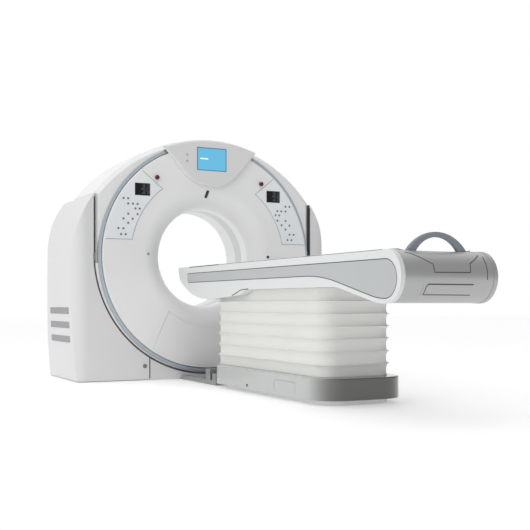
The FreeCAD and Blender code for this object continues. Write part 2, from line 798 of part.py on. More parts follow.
def bearing_outer_race():
    body = new_body("bearing_outer_race", ISO)
    groove = s.ball_radius + s.running_gap
    land = s.ball_circle + s.race_land
    half = root(groove * groove - s.race_land * s.race_land)
    middle = s.frame_front - 22
    end = s.frame_front + 18
    revolve(body, [(s.frame_inner, s.frame_front - 44), (s.frame_inner, end), (land, end),
                   (land, middle + half), (land, middle - half, groove),
                   (land, s.frame_front - 44)])


def brush_block():
    body = new_body("brush_block", ISO)
    back = s.frame_front + s.frame_thick
    top = -s.slip_outer - s.brush_gap
    pad(body, "XZ", back, 20, rect(-40, -s.frame_inner - 90, 40, top))
    pad(body, "XZ", back - 34, 34, rect(-40, top - 70, 40, top))


# ---------------------------------------------------------------- rotor
def rotor_parts():
    body = new_body("rotor_drum", ISO)
    pad(body, "XZ", s.drum_front, s.drum_thick, (0, 0, s.drum_outer), (0, 0, s.drum_inner))
    back = s.drum_front + s.drum_thick
    hub_end = s.frame_front + 3
    pad(body, "XZ", back, hub_end - back, (0, 0, s.race_inner), (0, 0, s.drum_inner))

    race = new_body("bearing_inner_race", ISO)
    groove = s.ball_radius + s.running_gap
    land = s.ball_circle - s.race_land
    half = root(groove * groove - s.race_land * s.race_land)
    middle = s.frame_front - 22
    revolve(race, [(s.race_inner, s.frame_front - 44), (s.race_inner, s.frame_front),
                   (land, s.frame_front), (land, middle + half), (land, middle - half, -groove),
                   (land, s.frame_front - 44)])

    spheres = []
    for i in range(SIZES["balls"]):
        angle = 2 * math.pi * i / SIZES["balls"]
        ball = doc.addObject("Part::Sphere", "ball")
        bind(ball, "Radius", s.ball_radius)
        place(ball, (s.ball_circle * math.cos(angle), middle,
                     s.iso_height + s.ball_circle * math.sin(angle)))
        spheres.append(ball)
    group("bearing_balls", spheres)

    rod_along("xray_tube", "Y", (0, s.drum_front - s.tube_length, s.iso_height + s.tube_circle),
              s.tube_radius, s.tube_length, node=True)
    collimator = new_body("collimator", ISO)
    top = s.tube_circle - s.tube_radius
    pad(collimator, "XZ", s.drum_front - 90, 90, rect(-70, top - 70, 70, top))

    detector = new_body("detector", ISO)
    wide, deep = sine(s.detector_half_angle), cosine(s.detector_half_angle)
    inner, outer = s.detector_inner, s.detector_outer
    pad(detector, "XZ", s.drum_front - s.detector_depth, s.detector_depth,
        [(-outer * wide, -outer * deep), (outer * wide, -outer * deep, outer),
         (inner * wide, -inner * deep), (-inner * wide, -inner * deep, -inner)])
    for name, side in (("high_voltage_generator", 1), ("tube_cooler", -1)):
        unit = new_body(name, ISO)
        low = 520 if side > 0 else -760
        pad(unit, "XZ", s.drum_front - 120, 120, rect(low, -110, low + 240, 110))
    tube_along("slip_ring", "Y", (0, hub_end, s.iso_height), s.slip_outer, s.drum_inner + 8,
               s.slip_thick)


# ---------------------------------------------------------------- display and controls
def shield_outline(inset):
    """Front view of the display shield: a flat-arched top over two slanted sides and a round chin."""
    half = s.shield_half_width - inset
    low_half = s.shield_low_half - inset
    arc = s.shield_arc - inset
    side = s.shield_top - s.shield_arc + on_circle(arc, half)
    return [(half, side), (-half, side, arc), (-low_half, s.shield_low + inset),
            (low_half, s.shield_low + inset, s.shield_bottom_radius)]


def display_housing():
    body = new_body("display_housing", ISO)
    front = DISC - s.shield_proud
    pad(body, "XZ", front + s.shield_edge, s.shield_proud - s.shield_edge, shield_outline(0))
    loft(body, "XZ", (front + s.shield_edge, shield_outline(0)),
         (front, shield_outline(s.shield_edge)))
    # Behind the rim the shield reaches back over the ring to the hood's front wall.
    half = s.shield_half_width - s.shield_edge
    low, high = s.ring_radius + 4, s.shield_arc - 3
    top = s.shield_top - s.shield_arc + on_circle(high, half)
    pad(body, "XZ", DISC - 4, s.ring_plane - DISC + 4,
        [(-half, on_circle(low, half), low), (-half, top),
         (half, top, -high), (half, on_circle(low, half))])
    pocket(body, "XZ", front - 1, s.screen_thick + 1,
           rect(-s.screen_half_width - 0.5, s.screen_low - 0.5,
                s.screen_half_width + 0.5, s.screen_low + s.screen_tall + 0.5))
    holes = [(-s.button_side, s.button_low + i * s.button_pitch, s.button_radius + s.button_gap)
             for i in range(2)]
    pocket(body, "XZ", front - 1, s.button_tall + s.button_travel + 1, *holes)


def display_screen():
    body = new_body("display_screen", ISO)
    pad(body, "XZ", DISC - s.shield_proud, s.screen_thick,
        rect(-s.screen_half_width, s.screen_low, s.screen_half_width, s.screen_low + s.screen_tall))


def hood_buttons():
    front = DISC - s.shield_proud
    for i, name in enumerate(("lower_hood_button", "upper_hood_button")):
        at = (-s.button_side, front - s.button_travel, s.iso_height + s.button_low + i * s.button_pitch)
        rod_along(name, "Y", at, s.button_radius, s.button_tall, node=True)


def control_panels():
    for name, side in SIDES:
        body = new_body(f"{name}_control_panel", ISO)
        outer, inner = s.panel_outer, s.panel_inner
        points = [(on_circle(inner, s.panel_bottom), s.panel_bottom),
                  (on_circle(outer, s.panel_bottom), s.panel_bottom),
                  (s.panel_top_side, on_circle(outer, s.panel_top_side), outer),
                  (s.panel_corner, on_circle(inner, s.panel_corner)),
                  (on_circle(inner, s.panel_bottom), s.panel_bottom, -inner)]
        pad(body, "XZ", DISC - s.panel_thick, s.panel_thick, flip(points[1:], side))


# Sixteen keys a side, as (sideways, up) from the isocentre on the right-hand panel.
KEY_COLUMNS = ((435, (680, 717)), (395, (605, 642, 680)), (360, (588, 622)), (317, (605, 680)),
               (280, (644, 717)), (247, (680,)), (205, (718, 757)), (160, (700, 736)))


def panel_keys():
    keys, windows = [], []
    face = DISC - s.panel_thick
    for side in (-1, 1):
        for up, places in KEY_COLUMNS:
            for across in places:
                at = (side * across, face - 1.2, s.iso_height + up)
                keys.append(rod_along("key", "Y", at, s.key_radius, 1.2))
        low = s.readout_side if side > 0 else -s.readout_side - s.readout_width
        windows.append(box("readout", (low, face - 1.5, s.iso_height + s.readout_low),
                           (s.readout_width, 1.5, s.readout_tall), node=False))
    group("panel_keys", keys)
    group("readouts", windows)


def emergency_buttons():
    """Mushroom buttons whose stems run through the disc."""
    for name, side in SIDES:
        body = new_body(f"{name}_emergency_button", ISO)
        place_x = side * s.stop_side
        face = DISC - s.panel_thick - s.stop_travel - 1
        pad(body, "XZ", face - s.stop_tall, s.stop_tall, (place_x, s.stop_height, s.stop_radius))
        pad(body, "XZ", face, DISC + s.wall + 8 - face, (place_x, s.stop_height, s.stop_stem))


def laser_windows():
    lights = []
    for side in (-1, 1):
        at = (side * s.laser_side, DISC - 1, s.iso_height + s.laser_height)
        lights.append(rod_along("laser", "Y", at, s.laser_radius, 2))
    group("laser_windows", lights)


# ---------------------------------------------------------------- couch, base and lift
def plinth_outline(inset):
    """Plan of the couch's plinth, round at both ends."""
    half, rear = s.base_half_width - inset, s.base_rear + inset
    front, corner, nose = s.base_front - inset, s.base_corner - inset, s.base_front_corner - inset
    return [(-half, rear + corner), (-half + corner, rear, corner), (half - corner, rear),
            (half, rear + corner, corner), (half, front - nose), (half - nose, front, nose),
            (-half + nose, front), (-half, front - nose, nose)]


def couch_base():
    """A tray on the floor, set back under the plinth, whose flange carries the plinth cover."""
    body = new_body("couch_base_plate")
    plate = s.base_plate + 10
    inner = plinth_outline(s.base_recess + s.base_lip)
    pad(body, "XY", 0, plate, plinth_outline(s.base_recess))
    pad(body, "XY", plate, s.base_low - plate, plinth_outline(s.base_recess), inner)
    pad(body, "XY", s.base_low, s.base_wall, plinth_outline(s.base_wall), inner)

    cover = new_body("couch_plinth")
    pad(cover, "XY", s.base_low, s.base_top - s.base_low, plinth_outline(0))

    def top_edge(middle, edge):
        return abs(middle.z - SIZES["base_top"]) < 0.01
    dress(cover, "Fillet", 9, top_edge)
    wall = s.base_wall
    pocket(cover, "XY", s.base_low - 1, s.base_top - s.base_low - wall + 1, plinth_outline(wall))
    edge = s.bellows_half - 14
    pocket(cover, "XY", s.base_top - wall - 2, wall + 4,
           round_rect(-edge, s.bellows_rear + 14, edge, s.bellows_front - 14,
                      s.bellows_corner - 14))


COLUMNS = (("front", s.front_column), ("rear", s.rear_column))


def column_stage(label, shrink, low):
    """Two square tubes of one telescopic stage, one at each end of the base."""
    tubes = []
    for name, y in COLUMNS:
        body = new_body(f"{label}_{name}", node=False)
        x, d = s.column_width / 2 - shrink, s.column_depth / 2 - shrink
        pad(body, "XY", low, s.stage_length, rect(-x, y - d, x, y + d),
            rect(-x + s.column_wall, y - d + s.column_wall, x - s.column_wall,
                 y + d - s.column_wall))
        tubes.append(body)
    group(label, tubes)


def lift_columns():
    low = s.base_plate + 10
    step = s.column_wall + s.column_gap
    shift = s.stage_length - s.stage_overlap
    column_stage("column_outer_tubes", 0, low)
    column_stage("column_middle_tubes", step, low + shift)
    column_stage("column_inner_tubes", 2 * step, low + 2 * shift)


def bellows():
    body = new_body("couch_bellows")
    half, wall, corner = s.bellows_half, s.bellows_wall, s.bellows_corner
    low = s.base_top + 0.3
    pad(body, "XY", low, s.belly - low,
        round_rect(-half, s.bellows_rear, half, s.bellows_front, corner),
        round_rect(-half + wall, s.bellows_rear + wall, half - wall, s.bellows_front - wall,
                   corner - wall))


# ---------------------------------------------------------------- couch body
def couch_side(grow):
    """Side view of the couch body, in Y and Z, from its foot round to its nose."""
    centre, up, arc = s.foot_centre, s.foot_centre_height, s.foot_round
    return [(centre, s.body_top), (centre - arc, up, arc), (centre, up - arc, arc),
            (centre + 125, up - arc + 14, 560), (centre + 425, s.belly - 12),
            (centre + 545, s.belly, -540), (-1600, s.belly), (-1480, s.front_belly + 24),
            (-1052, s.front_belly), (-760, s.front_belly + 16, 1500), (-425, 775, 900),
            (s.body_nose, 850), (s.body_nose - 8, s.body_top)]


def couch_body():
    body = new_body("couch_body_shell")
    half = s.body_half_width
    pad(body, "YZ", -half, half * 2, couch_side(0))
    pocket(body, "YZ", -s.channel_half, s.channel_half * 2,
           rect(s.foot_centre - 200, s.channel_floor, s.body_nose + 50, s.body_top + 20))
    # Two low tracks on the channel floor carry the tabletop.
    track = s.table_edge - s.table_dish - s.channel_floor - 0.4
    for low in (-32, 8):
        pad(body, "XY", s.channel_floor - 1, track + 1,
            rect(low, s.foot_centre + 120, low + 24, s.body_nose - 200))
    # A recess under the body takes the top of the bellows.
    edge = s.bellows_half + 3
    pocket(body, "XY", s.front_belly - 60, s.belly - s.front_belly + 60,
           round_rect(-edge, s.bellows_rear - 3, edge, s.bellows_front + 3, s.bellows_corner))
    # The silver foot cover takes the middle of the rounded foot.
    pocket(body, "YZ", -s.foot_cover_half, s.foot_cover_half * 2,
           rect(s.foot_centre - 200, 400, s.foot_centre + 94, s.body_top + 20))
    low = s.belly + 8
    pocket(body, "YZ", -half + 10, half * 2 - 20,
           [(s.rail_rear - 4, low), (-640, low), (-560, 740), (-560, s.channel_floor - 8),
            (s.rail_rear - 4, s.channel_floor - 8)])
    for name, y in COLUMNS:
        x, d = s.column_width / 2 + 3, s.column_depth / 2 + 3
        pocket(body, "XY", s.belly - 60, 80, rect(-x, y - d, x, y + d))
    for side in (-1, 1):
        start = half - s.inlay_thick if side > 0 else -half - 1
        pocket(body, "YZ", start, s.inlay_thick + 1, inlay_outline(0))


def inlay_outline(gap):
    """Side view of the grey panel in each side of the couch body."""
    arc = (s.inlay_top - (s.foot_centre_height - 115)) / 2 - gap
    low = s.foot_centre_height - 115 + gap
    top, centre = s.inlay_top - gap, s.foot_centre
    return [(centre, top), (centre - arc, low + arc, arc), (centre, low, arc),
            (centre + 125, low + 14, 560),
            (centre + 495, s.inlay_low - 33 + gap), (centre + 835, s.inlay_low + gap, -1550),
            (s.inlay_head - 30 - gap, s.inlay_low + gap),
            (s.inlay_head - gap, s.inlay_low + 30, 30), (s.inlay_head - gap, top - 8),
            (s.inlay_head - 8 - gap, top, 8)]


def side_inlays():
    panels = []
    for name, side in SIDES:
        body = new_body(f"{name}_inlay", node=False)
        start = s.body_half_width - s.inlay_thick if side > 0 else -s.body_half_width + 0.5
        pad(body, "YZ", start, s.inlay_thick - 0.5, inlay_outline(s.inlay_gap * 0.9))
        panels.append(body)
    group("side_inlays", panels)


def foot_cover():
    body = new_body("foot_cover")
    half = s.foot_cover_half - 0.8
    arc = s.foot_round - 2
    centre, up = s.foot_centre, s.foot_centre_height
    end = centre + 93.2
    pad(body, "YZ", -half, half * 2,
        [(centre, up + arc), (centre - arc, up, arc), (centre, up - arc, arc),
         (end, up - arc + 8), (end, up + arc)])
    pocket(body, "YZ", -s.channel_half - 4, s.channel_half * 2 + 8,
           rect(centre - 35, s.channel_floor + 10, end + 10, s.body_top + 10))

    hatch = new_body("foot_hatch")
    out = arc + 1.5
    high, low = 40, 105
    pad(hatch, "YZ", -165, 330,
        [(centre - on_circle(out, high), up - high),
         (centre - on_circle(out, low), up - low, out),
         (centre - on_circle(arc, low), up - low),
         (centre - on_circle(arc, high), up - high, -arc)])


def couch_chassis():
    body = new_body("couch_chassis")
    low = s.belly + 8
    pad(body, "XY", low, s.rail_top - low,
        rect(-s.rail_half - s.rail_width, s.rail_rear, -s.rail_half, s.rail_front))
    for y in (s.rail_front - 60, (s.front_column + s.rear_column) / 2, s.rail_rear):
        pad(body, "XY", low, 50, rect(-s.rail_half - 1, y, s.rail_half + 1, y + 60))
    pad(body, "XY", low, s.rail_top - low,
        rect(s.rail_half, s.rail_rear, s.rail_half + s.rail_width, s.rail_front))


def release_cap():
    rod_along("release_cap", "Z", (s.body_half_width - 32, s.knob_place, s.body_top),
              s.knob_radius, s.knob_tall, node=True)


def tabletop():
    body = new_body("tabletop")
    half = s.table_half_width
    dish = s.table_dish - s.table_thick
    arc = (half * half + dish * dish) / (dish * 2)
    low = s.table_edge - s.table_thick
    pad(body, "XZ", s.table_foot, s.table_head - s.table_foot,
        [(-half, low), (half, low, arc), (half, s.table_edge), (-half, s.table_edge, -arc)])

    grip = new_body("table_handle")
    outer_half, foot = s.handle_half, s.table_edge - s.handle_foot
    rise = s.handle_rise + s.handle_foot - 3
    bar = s.handle_bar * 2
    inner_half = outer_half - bar - 34
    low_rise = rise - bar
    outer_arc = (outer_half * outer_half + rise * rise) / (rise * 2)
    inner_arc = (inner_half * inner_half + low_rise * low_rise) / (low_rise * 2)
    pad(grip, "XZ", s.table_foot - bar, bar,
        [(-inner_half, foot), (inner_half, foot, -inner_arc), (outer_half, foot),
         (-outer_half, foot, outer_arc)])

    def rounded(middle, edge):
        return abs(middle.z - num(foot)) > 0.5 and edge.Length > 100
    dress(grip, "Fillet", 9, rounded)


def docking_rail():
    """Floor link between couch and gantry: a plate, two side bars and the coupling block."""
    body = new_body("docking_rail")
    gap, end = s.base_front, s.ring_plane
    half, bar, block = s.dock_half_width, s.dock_bar, s.dock_block
    pad(body, "XY", 0, s.dock_plate, rect(-half, gap, half, end))
    pad(body, "XY", 0, s.dock_bar_tall, rect(-half, gap, -half + bar, end - 60),
        rect(half - bar, gap, half, end - 60))
    pad(body, "XY", 0, s.dock_tall, rect(-half, gap, half, gap + block))
    pad(body, "XY", s.dock_plate, s.dock_tall + 20,
        rect(-half, gap + block + 40, -half + bar, gap + block + 120),
        rect(half - bar, gap + block + 40, half, gap + block + 120))


def build():
    gantry_base()
    towers()
    tilt_bearings()
    tilt_drive()
    anchor_bolts()
    side_covers()
    vent_grilles()
    rear_corner_covers()
    front_skirt()
    rear_skirt()
    cover_locks()
    tilt_frame()
    unit_shell("hood_cover", True, s.unit_rear, s.unit_edge, taper_radius(s.unit_rear - s.wall) + 1)
    unit_shell("lower_shell", False, s.back_lip, s.wall + 2, s.ring_radius - 4)
    light_ring()
    front_cover()
    lower_access_panel()
    bore_liners()
    rear_cover()
    bearing_outer_race()
    brush_block()
    rotor_parts()
    display_housing()
    display_screen()
    hood_buttons()
    control_panels()
    panel_keys()
    emergency_buttons()
    laser_windows()
    couch_base()
    lift_columns()
    bellows()
    couch_body()
    side_inlays()
    foot_cover()
    couch_chassis()
    release_cap()
    tabletop()
    docking_rail()


build()
doc.recompute()

faults = [o.Label for o in doc.Objects if "Invalid" in o.State or "Error" in o.State]
for node in nodes:
    if node.Shape.isNull() or not node.Shape.isValid() or not node.Shape.Solids:
        faults.append(f"{node.Label}: shape")
print(len(nodes), "nodes; faults:", faults)
if faults:
    raise SystemExit(1)

os.makedirs("parts", exist_ok=True)
for node in nodes:
    node.Shape.exportStep(f"parts/{node.Label}.step")
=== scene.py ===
# %% [markdown]
# # A CT scanner: gantry, docked couch and their finishes
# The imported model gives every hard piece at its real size, in metres, with +Z up and the origin on the
# floor under the middle of the bore. This lesson loads it, lights it, gives each piece its finish, and
# models what a solid model leaves out: the pleated bellows, the lit figures, the keylines and the seams.

# %% Load the frame
import bpy
import bmesh
import math
from mathutils import Matrix, Vector, noise
from mathutils.bvhtree import BVHTree


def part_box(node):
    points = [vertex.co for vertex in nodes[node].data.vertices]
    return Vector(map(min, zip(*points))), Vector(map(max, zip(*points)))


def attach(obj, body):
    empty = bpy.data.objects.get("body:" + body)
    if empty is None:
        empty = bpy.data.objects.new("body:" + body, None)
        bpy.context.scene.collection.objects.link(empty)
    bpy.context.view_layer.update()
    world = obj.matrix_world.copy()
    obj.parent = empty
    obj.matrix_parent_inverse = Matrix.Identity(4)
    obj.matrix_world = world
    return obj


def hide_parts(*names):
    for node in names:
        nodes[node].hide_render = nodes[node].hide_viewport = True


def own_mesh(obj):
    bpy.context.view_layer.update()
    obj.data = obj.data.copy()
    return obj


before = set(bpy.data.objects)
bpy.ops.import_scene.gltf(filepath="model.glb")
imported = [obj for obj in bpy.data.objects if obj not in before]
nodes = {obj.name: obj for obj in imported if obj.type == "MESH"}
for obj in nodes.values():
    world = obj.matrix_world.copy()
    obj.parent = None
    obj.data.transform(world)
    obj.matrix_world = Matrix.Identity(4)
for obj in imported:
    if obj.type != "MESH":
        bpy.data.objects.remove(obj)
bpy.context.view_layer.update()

ring_low, ring_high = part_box("light_ring")
ISO = (ring_low + ring_high) / 2

# %% [markdown]
# ## Camera
# A catalogue view is taken from far away with a long lens, so that the upright edges stay upright. The
# camera therefore looks exactly level, and the picture is framed with the lens shift in place of a tilt.

# %% Camera
camera_data = bpy.data.cameras.new("catalogue_camera")
camera_data.sensor_width = 36.0
camera_data.lens = 63.17
camera_data.shift_y = 0.0738
camera = bpy.data.objects.new("catalogue_camera", camera_data)
camera.location = (-2.983, -7.077, 0.587)
camera.rotation_euler = (math.radians(90), 0, math.radians(-27.15))
bpy.context.scene.collection.objects.link(camera)
bpy.context.scene.camera = camera
print("lens", camera_data.lens, "shift", camera_data.shift_y)

# %% [markdown]
# ## Room
# White covers only read as shapes when the light is uneven. The room is therefore white on one side and dark
# on the other, with a soft step between, and two large soft lights hang over the floor, one to the left and
# one overhead. Past the scanner the camera sees plain white, as in a catalogue cut-out: a Light Path node
# gives white to camera rays alone, and the uneven room still lights the piece and shows in its gloss.
# The floor is a pale sheet that glows very slightly, so that it stays near that white.


# %% Light and floor
def soft_light(name, place, aim, power, size):
    data = bpy.data.lights.new(name, "AREA")
    data.shape = "DISK"
    data.size, data.energy = size, power
    lamp = bpy.data.objects.new(name, data)
    lamp.location = place
    lamp.rotation_euler = (Vector(aim) - Vector(place)).to_track_quat("-Z", "Y").to_euler()
    bpy.context.scene.collection.objects.link(lamp)


soft_light("key_light", place=(-5.5, -2.5, 3.6), aim=(0.0, -0.8, 0.8), power=28, size=3.5)
soft_light("top_light", place=(0.0, -1.0, 5.5), aim=(0.0, -0.8, 0.6), power=30, size=4.0)
print("lights:", len(bpy.data.lights))

# %% One-sided room
BRIGHT_SIDE = (-0.87, 0.48, 0.12)
DARK_UP_TO, BRIGHT_FROM = 0.20, 0.345
# A Mix node in its colour mode keeps its factor, its two colours and its result at these sockets.
MIX_FACTOR, MIX_FIRST, MIX_SECOND, MIX_RESULT = 0, 6, 7, 2

world = bpy.data.worlds.new("pale_room")
world.use_nodes = True
room_tree = world.node_tree
direction = room_tree.nodes.new("ShaderNodeTexCoord")
towards_bright = room_tree.nodes.new("ShaderNodeVectorMath")
towards_bright.operation = "DOT_PRODUCT"
towards_bright.inputs[1].default_value = BRIGHT_SIDE
spread = room_tree.nodes.new("ShaderNodeMapRange")
spread.inputs["From Min"].default_value = -1.0
spread.inputs["From Max"].default_value = 1.0
room = room_tree.nodes.new("ShaderNodeValToRGB")
room.color_ramp.elements[0].position = DARK_UP_TO
room.color_ramp.elements[0].color = (0.16, 0.16, 0.165, 1)
room.color_ramp.elements[1].position = BRIGHT_FROM
room.color_ramp.elements[1].color = (1.0, 1.0, 1.0, 1)
backdrop = room_tree.nodes.new("ShaderNodeMix")
backdrop.data_type = "RGBA"
backdrop.inputs[MIX_SECOND].default_value = (1.0, 1.0, 1.0, 1)
ray = room_tree.nodes.new("ShaderNodeLightPath")
room_tree.links.new(direction.outputs["Generated"], towards_bright.inputs[0])
room_tree.links.new(towards_bright.outputs["Value"], spread.inputs["Value"])
room_tree.links.new(spread.outputs["Result"], room.inputs["Fac"])
room_tree.links.new(ray.outputs["Is Camera Ray"], backdrop.inputs[MIX_FACTOR])
room_tree.links.new(room.outputs["Color"], backdrop.inputs[MIX_FIRST])
room_tree.links.new(backdrop.outputs[MIX_RESULT], room_tree.nodes["Background"].inputs["Color"])
bpy.context.scene.world = world
bpy.context.scene.view_settings.view_transform = "Standard"
print("room steps from dark to bright between", DARK_UP_TO, "and", BRIGHT_FROM)

# %% Floor sheet
FLOOR_HALF, FLOOR_DROP = 30, 0.001
floor_mesh = bpy.data.meshes.new("floor_sheet")
sheet = bmesh.new()
bmesh.ops.create_grid(sheet, x_segments=2, y_segments=2, size=FLOOR_HALF)
bmesh.ops.translate(sheet, vec=(0, 0, -FLOOR_DROP), verts=sheet.verts)
sheet.to_mesh(floor_mesh)
sheet.free()
floor = bpy.data.objects.new("floor_sheet", floor_mesh)
bpy.context.scene.collection.objects.link(floor)
print("floor at", round(floor_mesh.vertices[0].co.z, 4))

# %% [markdown]
# ## Finishes
# Most of the scanner is moulded plastic with a satin paint. Such a skin is never one flat colour: the
# paint drifts a little in tone, its gloss is patchy, and its surface has a fine ripple. One helper makes
# a finish from these three, and each use names its own scale and strength.


# %% Finish helper
def finish(name, colour, rough=0.4, drift=0.03, ripple=0.05, grain=60.0, metal=0.0, coat=0.0, patch=1.6):
    material = bpy.data.materials.new(name)
    material.use_nodes = True
    tree = material.node_tree
    shader = tree.nodes["Principled BSDF"]
    shader.inputs["Metallic"].default_value = metal
    shader.inputs["Coat Weight"].default_value = coat
    shader.inputs["Coat Roughness"].default_value = 0.12
    place = tree.nodes.new("ShaderNodeTexCoord")

    broad = tree.nodes.new("ShaderNodeTexNoise")
    broad.inputs["Scale"].default_value = patch
    broad.inputs["Detail"].default_value = 3.0
    tone = tree.nodes.new("ShaderNodeValToRGB")
    tone.color_ramp.elements[0].position, tone.color_ramp.elements[1].position = 0.3, 0.7
    tone.color_ramp.elements[0].color = (*[c * (1 - drift) for c in colour], 1)
    tone.color_ramp.elements[1].color = (*[min(1.0, c * (1 + drift)) for c in colour], 1)
    gloss = tree.nodes.new("ShaderNodeMapRange")
    gloss.inputs["To Min"].default_value = rough * 0.85
    gloss.inputs["To Max"].default_value = min(1.0, rough * 1.15)

    fine = tree.nodes.new("ShaderNodeTexNoise")
    fine.inputs["Scale"].default_value = grain
    fine.inputs["Detail"].default_value = 4.0
    bump = tree.nodes.new("ShaderNodeBump")
    bump.inputs["Strength"].default_value = ripple
    bump.inputs["Distance"].default_value = 0.001

    tree.links.new(place.outputs["Object"], broad.inputs["Vector"])
    tree.links.new(place.outputs["Object"], fine.inputs["Vector"])
    tree.links.new(broad.outputs["Fac"], tone.inputs["Fac"])
    tree.links.new(broad.outputs["Fac"], gloss.inputs["Value"])
    tree.links.new(fine.outputs["Fac"], bump.inputs["Height"])
    tree.links.new(tone.outputs["Color"], shader.inputs["Base Color"])
    tree.links.new(gloss.outputs["Result"], shader.inputs["Roughness"])
    tree.links.new(bump.outputs["Normal"], shader.inputs["Normal"])
    return material


def glow(material, colour, strength):
    shader = material.node_tree.nodes["Principled BSDF"]
    shader.inputs["Emission Color"].default_value = (*colour, 1)
    shader.inputs["Emission Strength"].default_value = strength


# %% [markdown]
# ## Cover finishes
# The outer covers are near white. The dished front is a shade cooler and darker, so that the panels and
# the ring stand out from it. The couch's side panels are a satin grey and its foot cover is silver.

# %% Cover finishes
floor_white = finish("pale_floor", (0.93, 0.93, 0.93), rough=0.9, drift=0.004, ripple=0.0)
glow(floor_white, (1, 1, 1), 0.18)
hood_white = finish("hood_white", (0.80, 0.80, 0.80), rough=0.42, drift=0.012)
# Painted shade: the stand's covers take a darker copy of the cover white, so that their sides read dimmer
# than the hood.
stand_white_shaded = finish("stand_white_shaded", (0.69, 0.69, 0.69), rough=0.45, drift=0.015)
disc_white = finish("disc_white", (0.82, 0.82, 0.82), rough=0.38, drift=0.012)
shield_grey = finish("shield_grey", (0.71, 0.71, 0.712), rough=0.40, drift=0.012)
couch_white = finish("couch_white", (0.70, 0.71, 0.705), rough=0.36, drift=0.012)
panel_tint = finish("panel_tint", (0.81, 0.84, 0.865), rough=0.34, drift=0.02)
inlay_grey = finish("inlay_grey", (0.455, 0.475, 0.475), rough=0.42, drift=0.02)
silver_paint = finish("silver_paint", (0.46, 0.46, 0.465), rough=0.36, drift=0.02, metal=0.4)
plinth_gloss = finish("plinth_gloss", (0.46, 0.47, 0.465), rough=0.2, drift=0.03, ripple=0.02, coat=0.5)
vent_plastic = finish("vent_plastic", (0.30, 0.30, 0.31), rough=0.55, drift=0.05)
table_laminate = finish("table_laminate", (0.70, 0.71, 0.71), rough=0.3, drift=0.03, grain=220.0)
slate_grip = finish("slate_grip", (0.235, 0.26, 0.30), rough=0.5, drift=0.06, ripple=0.2, grain=400.0)
window_film = finish("window_film", (0.72, 0.73, 0.73), rough=0.3, drift=0.02)
print("cover finishes:", len(bpy.data.materials))

# %% [markdown]
# ## Metals and small parts
# Inside sit cast aluminium, ground steel and enamelled frames. The small parts are moulded: grey keys,
# red buttons, and windows so dark that only their gloss shows.

# %% Metal and small-part finishes
frame_enamel = finish("frame_enamel", (0.17, 0.19, 0.21), rough=0.5, drift=0.08, ripple=0.15, grain=120.0)
ground_steel = finish("ground_steel", (0.50, 0.50, 0.51), rough=0.32, metal=0.9, drift=0.06, grain=300.0)
cast_aluminium = finish("cast_aluminium", (0.52, 0.53, 0.54), rough=0.5, metal=0.8, ripple=0.4, grain=180.0)
black_moulding = finish("black_moulding", (0.02, 0.02, 0.022), rough=0.5, drift=0.1, ripple=0.1)
dark_window = finish("dark_window", (0.012, 0.012, 0.014), rough=0.18, drift=0.1, ripple=0.0)
key_grey = finish("key_grey", (0.17, 0.18, 0.18), rough=0.5, drift=0.05)
button_red = finish("button_red", (0.085, 0.018, 0.03), rough=0.35, drift=0.08, coat=0.4)
# The dark seam finish also paints the shade in the gap round the tilting unit.
seam_dark_and_gap_shade = finish("seam_dark_and_gap_shade", (0.09, 0.09, 0.095), rough=0.8, drift=0.1)
seam_soft = finish("seam_soft", (0.33, 0.33, 0.34), rough=0.7, drift=0.05)
bellows_cloth = finish("bellows_cloth", (0.73, 0.73, 0.705), rough=0.62, drift=0.02, ripple=0.25, grain=700.0)
dock_steel = finish("dock_steel", (0.34, 0.34, 0.345), rough=0.42, metal=0.5, grain=200.0, drift=0.12)
pale_key = finish("pale_key", (0.45, 0.45, 0.455), rough=0.4)
lock_steel = finish("lock_steel", (0.24, 0.24, 0.245), rough=0.4, metal=0.6, grain=300.0)
foot_pale = finish("foot_pale", (0.80, 0.80, 0.80), rough=0.6)
liner_white = finish("liner_white", (0.93, 0.93, 0.93), rough=0.4, drift=0.01)
screen_edge = finish("screen_edge", (0.05, 0.20, 0.27), rough=0.3, ripple=0.0)
figure_grey = finish("figure_grey", (0.13, 0.14, 0.14), rough=0.6, ripple=0.0)
print("all finishes:", len(bpy.data.materials))

# %% [markdown]
# ## Ring
# The band round the disc is a translucent light pipe over a blue-grey carrier, so its tone runs from slate
# to pale blue across its width. Its radius from the axis, worked out in the material, drives a ramp.

# %% Ring finish
RING_INNER, RING_OUTER = 0.874, 0.907
ring_blue = finish("ring_blue", (0.30, 0.38, 0.46), rough=0.3, drift=0.05, coat=0.5)
ring_tree = ring_blue.node_tree
spot_on_ring = ring_tree.nodes.new("ShaderNodeTexCoord")
ring_axes = ring_tree.nodes.new("ShaderNodeSeparateXYZ")
height = ring_tree.nodes.new("ShaderNodeMath")
height.operation = "SUBTRACT"
height.inputs[1].default_value = ISO.z
square_x = ring_tree.nodes.new("ShaderNodeMath")
square_x.operation = "POWER"
square_x.inputs[1].default_value = 2.0
square_z = ring_tree.nodes.new("ShaderNodeMath")
square_z.operation = "POWER"
square_z.inputs[1].default_value = 2.0
total = ring_tree.nodes.new("ShaderNodeMath")
radius = ring_tree.nodes.new("ShaderNodeMath")
radius.operation = "SQRT"
width = ring_tree.nodes.new("ShaderNodeMapRange")
width.inputs["From Min"].default_value = RING_INNER
width.inputs["From Max"].default_value = RING_OUTER
band = ring_tree.nodes.new("ShaderNodeValToRGB")
band.color_ramp.elements[0].color = (0.14, 0.16, 0.19, 1)
band.color_ramp.elements[0].position = 0.12
band.color_ramp.elements[1].color = (0.35, 0.40, 0.44, 1)
band.color_ramp.elements[1].position = 0.95
middle = band.color_ramp.elements.new(0.4)
middle.color = (0.46, 0.53, 0.58, 1)
ring_tree.links.new(spot_on_ring.outputs["Object"], ring_axes.inputs[0])
ring_tree.links.new(ring_axes.outputs["X"], square_x.inputs[0])
